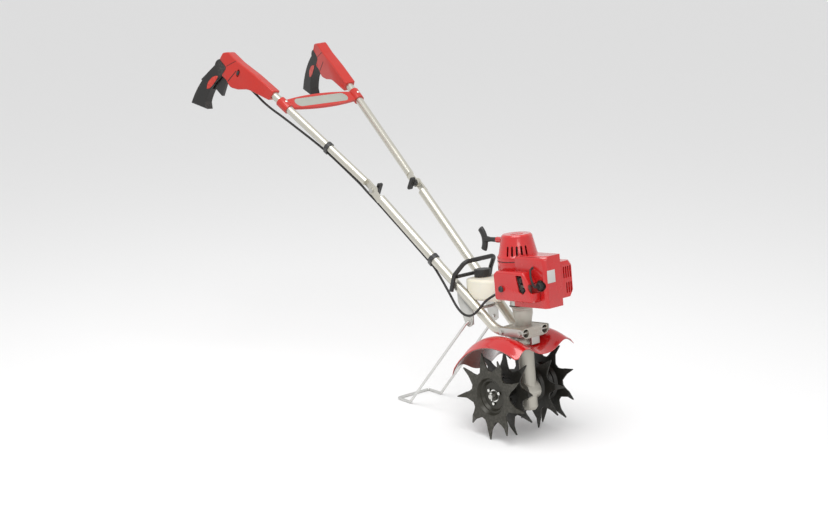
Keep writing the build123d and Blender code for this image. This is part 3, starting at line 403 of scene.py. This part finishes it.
def turned(bm, profile, place, steps=32):
    """Spin a half profile of (radius, height) millimetres about a place's Z."""
    earlier = set(bm.verts)
    line = [bm.verts.new((radius * MM, 0, height * MM)) for radius, height in profile]
    runs = [bm.edges.new(pair) for pair in zip(line, line[1:])]
    bmesh.ops.spin(bm, geom=line + runs, axis=(0, 0, 1), cent=(0, 0, 0), angle=2 * pi,
                   steps=steps, use_merge=True)
    bmesh.ops.transform(bm, matrix=place, verts=[v for v in bm.verts if v not in earlier])


def plate(bm, outline, thick, place, edge):
    """A flat plate from outline points in millimetres, raised along a place's Z."""
    earlier = set(bm.verts)
    corners = [bm.verts.new((x * MM, y * MM, 0)) for x, y in outline]
    face = bm.faces.new(corners)
    grown = bmesh.ops.extrude_face_region(bm, geom=[face])
    lifted = [g for g in grown["geom"] if isinstance(g, bmesh.types.BMVert)]
    bmesh.ops.translate(bm, vec=(0, 0, thick * MM), verts=lifted)
    rims = [e for e in bm.edges if all(v in lifted for v in e.verts)]
    bmesh.ops.bevel(bm, geom=rims, offset=edge * MM, affect="EDGES", segments=2, profile=0.5,
                    material=-1)
    bmesh.ops.transform(bm, matrix=place, verts=[v for v in bm.verts if v not in earlier])


def swept(points, radius):
    """A round cord along a smooth curve through places near these points."""
    curve = bpy.data.curves.new("route", "CURVE")
    curve.dimensions = "3D"
    spline = curve.splines.new("NURBS")
    spline.points.add(len(points) - 1)
    for control, point in zip(spline.points, points):
        control.co = (*point, 1)
    spline.use_endpoint_u = True
    spline.order_u = 3
    curve.resolution_u = 6
    curve.bevel_depth = radius * MM
    curve.bevel_resolution = 4
    curve.use_fill_caps = True
    holder = bpy.data.objects.new("route", curve)
    bm = bmesh.new()
    mesh = bpy.data.meshes.new_from_object(holder)
    bm.from_mesh(mesh)
    bpy.data.objects.remove(holder)
    return bm


# %% [markdown]
# ## The throttle cable
# One black cable runs from the right grip down its tubes to the carburettor. It crosses
# the fold, so it is a single piece from the upper handles to the machine, on no body.

# %% Throttle cable
CABLE_ROUTE = ((-822, -158, 821), (-795, -152.6, 798), (-775, -149, 779), (-745, -143, 757),
               (-712, -137, 737), (-660, -125, 700), (-610, -114, 665), (-568.1, -105.5, 634.3),
               (-530, -98.5, 603), (-490, -91, 569), (-455, -85.5, 540), (-436, -83, 521),
               (-397, -76.6, 485.8), (-361, -72.4, 451.7), (-324, -68, 417.6),
               (-288, -64, 383.6), (-262, -60.5, 358.5), (-241.6, -58.5, 339.9),
               (-221.2, -56.1, 320.9), (-185, -62, 284), (-160, -64, 252), (-135, -66, 218), (-108, -67, 199),
               (-78, -66, 200), (-50, -64, 222), (-24, -61, 248), (16, -54, 266))
cable = settle("throttle_cable", swept([spot(*point) for point in CABLE_ROUTE], 3.2),
               black_rubber, None)
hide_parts("throttle_cable_upper", "throttle_cable_lower")
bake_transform(cable)

# %% [markdown]
# ## Rivets, pins and screws
# Bright heads on dark parts read as points of light: three rivets on the near tine, a ring of
# painted highlight round the shaft's end, and a screw in each clamp sleeve of the brace.

# %% Tine hub fittings
HEAD = ((0, 0), (4.6, 0), (4.6, 1.0), (3.6, 2.2), (1.8, 2.9), (0, 3.1))
DOWN = radians(-90 - 7.5)
for side_name, side in (("right", -1), ("left", 1)):
    rivets = bmesh.new()
    for turn in range(3):
        angle = DOWN + turn * 2 * pi / 3
        centre = spot(21 * cos(angle), side * 89.4, 21 * sin(angle))
        turned(rivets, HEAD, facing(centre, (0, side, 0), (1, 0, 0)), steps=16)
    settle(f"hub_rivets_{side_name}", rivets, bright_steel_and_highlight, "tine_set")
    # Painted highlight: a flat bright ring round each hub stands in for light caught on the tine's stepped
    # dish.
    highlight_rings = bmesh.new()
    centre = spot(0, side * 86.4, 0)
    turned(highlight_rings, ((13.2, 0), (16, 0), (16, 0.8), (13.2, 0.8), (13.2, 0)),
           facing(centre, (0, side, 0), (1, 0, 0)), steps=48)
    settle(f"painted_highlight_ring_{side_name}", highlight_rings, bright_steel_and_highlight, "tine_set")
print("rivets", 6)

# %% [markdown]
# ## The brace between the handles
# Its grey inlay has a thin pale border, and each sleeve is held by one pale screw.

# %% Brace border and sleeve screws
HINGE = Vector((-414, 0, 526))
BRACE = Vector((-701, 131.5, 767))
brace_up = Vector((BRACE.z - HINGE.z, 0, HINGE.x - BRACE.x)).normalized()
brace_face = Vector((BRACE.x, 0, BRACE.z)) + brace_up * 3.9
seat = facing(spot(*brace_face), heading(*brace_up), (0, 1, 0))
border = bmesh.new()
REACH, HALF, BORDER = 78.0, 15.0, 1.8
arc = [pi / 2 - step * pi / 12 for step in range(13)]
outer = [(REACH + (HALF + BORDER) * cos(a), (HALF + BORDER) * sin(a)) for a in arc]
outer += [(-x, -y) for x, y in outer]
rim = border.faces.new([border.verts.new((x * MM, y * MM, 0)) for x, y in outer])
bmesh.ops.inset_region(border, faces=[rim], thickness=BORDER * MM, use_boundary=True)
bmesh.ops.delete(border, geom=[rim], context="FACES")
grown = bmesh.ops.extrude_face_region(border, geom=border.faces[:])
lifted = [g for g in grown["geom"] if isinstance(g, bmesh.types.BMVert)]
bmesh.ops.translate(border, vec=(0, 0, 0.3 * MM), verts=lifted)
bmesh.ops.transform(border, matrix=seat, verts=border.verts)
settle("brace_border", border, pale_border, "upper_handles")

screws = bmesh.new()
SCREW = ((0, 0), (4.2, 0), (4.2, 1.2), (3.2, 2.0), (1.4, 2.0), (1.4, 1.0), (0, 1.0))
for side in (-1, 1):
    centre = Vector((BRACE.x, side * BRACE.y, BRACE.z)) + brace_up * 14.2
    turned(screws, SCREW, facing(spot(*centre), heading(*brace_up)), steps=20)
settle("sleeve_screws", screws, bright_steel_and_highlight, "upper_handles")

# %% [markdown]
# ## Grips
# A seam divides each tail cap from the shell, and the handle carries a red oval inlay. Both
# lie in the plane down the middle of the grip, so that plane is built once per side.

# %% Grip details
CANT = radians(4.5)


def grip_place(side, across):
    """The place at the mouth of a grip: X up the tube, Z out through one cheek."""
    along = Vector((BRACE.x - HINGE.x, side * (BRACE.y - 76), BRACE.z - HINGE.z)).normalized()
    mouth = Vector((BRACE.x, side * BRACE.y, BRACE.z)) + along * 45
    level = along.cross(Vector((0, 0, 1))).normalized()
    rising = level.cross(along)
    leaned = level * cos(CANT) + rising * side * sin(CANT)
    rising = leaned.cross(along)
    origin = mouth + rising * 5 + leaned * across
    turn = Matrix((along, rising, leaned)).transposed()
    return PARKED @ Matrix.Scale(MM, 4) @ Matrix.Translation(origin) @ turn.to_4x4()


def cheek_strip(bm, points, width, side, cheek, depth=0.5):
    """A thin raised strip along points on a grip's cheek."""
    place = grip_place(side, cheek)
    turned_in = -1 if cheek < 0 else 1
    for start, end in zip(points, points[1:]):
        run = (Vector(end) - Vector(start)).normalized() * 0.4
        edge = Vector((-run.y, run.x)).normalized() * width / 2
        a, b = Vector(start) - run, Vector(end) + run
        corners = [a + edge, b + edge, b - edge, a - edge]
        low = [bm.verts.new(place @ Vector((*c, -0.6 * turned_in))) for c in corners]
        face = bm.faces.new(low)
        grown = bmesh.ops.extrude_face_region(bm, geom=[face])
        lifted = [g for g in grown["geom"] if isinstance(g, bmesh.types.BMVert)]
        lift = place.to_3x3() @ Vector((0, 0, (0.6 + depth) * turned_in))
        bmesh.ops.translate(bm, vec=lift, verts=lifted)


OVAL = ((200, -131), (206, -120), (207, -110), (203, -92), (196, -82), (188, -76), (186, -84),
        (187, -96), (189, -112), (193, -124))
for side_name, side in (("right", -1), ("left", 1)):
    seams = bmesh.new()
    inlays = bmesh.new()
    for cheek in (-16, 16):
        cheek_strip(seams, ((158, -2), (168, -18), (177, -34)), 1.5, side, cheek, 0.2)
        cheek_strip(seams, ((141, -24), (149, -66)), 2.6, side, cheek, 0.15)
        place = grip_place(side, cheek * 15 / 16)
        ring = [inlays.verts.new(place @ Vector((x, y, 0))) for x, y in OVAL]
        face = inlays.faces.new(ring)
        grown = bmesh.ops.extrude_face_region(inlays, geom=[face])
        lifted = [g for g in grown["geom"] if isinstance(g, bmesh.types.BMVert)]
        lift = place.to_3x3() @ Vector((0, 0, 0.7 if cheek > 0 else -0.7))
        bmesh.ops.translate(inlays, vec=lift, verts=lifted)
    settle(f"grip_seams_{side_name}", seams, shadow_black, "upper_handles")
    settle(f"grip_inlays_{side_name}", inlays, grip_red, "upper_handles")
print("grips dressed")

# %% [markdown]
# ## Engine details
# The front of the engine cover has a plain rating plate, the recoil cover a small round
# badge recess left blank, and the air cleaner a turned knob that holds it on.

# %% Rating plate, badge disc and knob
badge = bmesh.new()
turned(badge, ((0, 0), (17, 0), (17, 0.8), (15.5, 1.2), (14, 0.7), (0, 0.7)),
       facing(spot(41, 0, 412), heading(0, 0, 1)), steps=48)
settle("recoil_badge", badge, red_cover, "machine")

seam = bmesh.new()
turned(seam, ((53.0, 0), (54.5, 0), (54.5, 1.8), (53.0, 1.8), (53.0, 0)),
       facing(spot(41, 0, 345), heading(0, 0, 1)), steps=64)
settle("recoil_seam", seam, shadow_black, "machine")

knob = bmesh.new()
turned(knob, ((0, 0), (8, 0), (8, 3), (6.8, 4.2), (2.5, 4.4), (2.5, 3.4), (0, 3.4)),
       facing(spot(48, -77.2, 281), (0, -1, 0), (1, 0, 0)), steps=24)
settle("cleaner_knob", knob, black_plastic, "machine")

rating = bmesh.new()
plate(rating, ((-14, -16), (14, -16), (14, 16), (-14, 16)), 0.5,
      facing(spot(176, -24, 312), heading(1, 0, 0), (0, 1, 0)), edge=0.2)
settle("rating_plate", rating, label_grey, "machine")

# %% [markdown]
# ## Floor, light and camera
# A pale floor and a bright even surround keep the paint clean. One large soft light from
# above gives the tubes and the fender their long highlights.

# %% Studio
FLOOR_HALF = 30
floor_bm = bmesh.new()
bmesh.ops.create_grid(floor_bm, x_segments=1, y_segments=1, size=FLOOR_HALF)
floor_mesh = bpy.data.meshes.new("floor")
floor_bm.to_mesh(floor_mesh)
floor_bm.free()
paper = bpy.data.materials.new("paper")
paper.use_nodes = True
paper.node_tree.nodes["Principled BSDF"].inputs["Base Color"].default_value = (0.9, 0.9, 0.9, 1)
paper.node_tree.nodes["Principled BSDF"].inputs["Roughness"].default_value = 0.9
floor_mesh.materials.append(paper)
floor = bpy.data.objects.new("floor", floor_mesh)
bpy.context.collection.objects.link(floor)

world = bpy.data.worlds.new("surround")
bpy.context.scene.world = world
world.use_nodes = True
world.node_tree.nodes["Background"].inputs["Color"].default_value = (1, 1, 1, 1)
world.node_tree.nodes["Background"].inputs["Strength"].default_value = 0.8


def softbox(name, place, aim, size, power):
    """A square soft light pointed at a place."""
    lamp = bpy.data.lights.new(name, "AREA")
    lamp.size = size
    lamp.energy = power
    holder = bpy.data.objects.new(name, lamp)
    holder.location = place
    holder.rotation_mode = "QUATERNION"
    holder.rotation_quaternion = (Vector(aim) - Vector(place)).to_track_quat("-Z", "Y")
    bpy.context.collection.objects.link(holder)


softbox("overhead", (0.6, -0.8, 2.6), (0.1, 0, 0.3), 1.6, 36)
softbox("near_side", (2.6, -1.6, 1.3), (0.3, 0, 0.35), 0.8, 8)

# %% Camera
azimuth, pitch = radians(47.66), radians(13.75)
looking = Vector((-sin(azimuth) * cos(pitch), cos(azimuth) * cos(pitch), -sin(pitch)))
lens = bpy.data.cameras.new("camera")
lens.lens = 75.8
lens.sensor_width = 36
camera = bpy.data.objects.new("camera", lens)
camera.location = (3.5150, -3.124, 1.534)
camera.rotation_mode = "QUATERNION"
camera.rotation_quaternion = looking.to_track_quat("-Z", "Y")
bpy.context.collection.objects.link(camera)
bpy.context.scene.camera = camera
bpy.context.scene.view_settings.view_transform = "Standard"
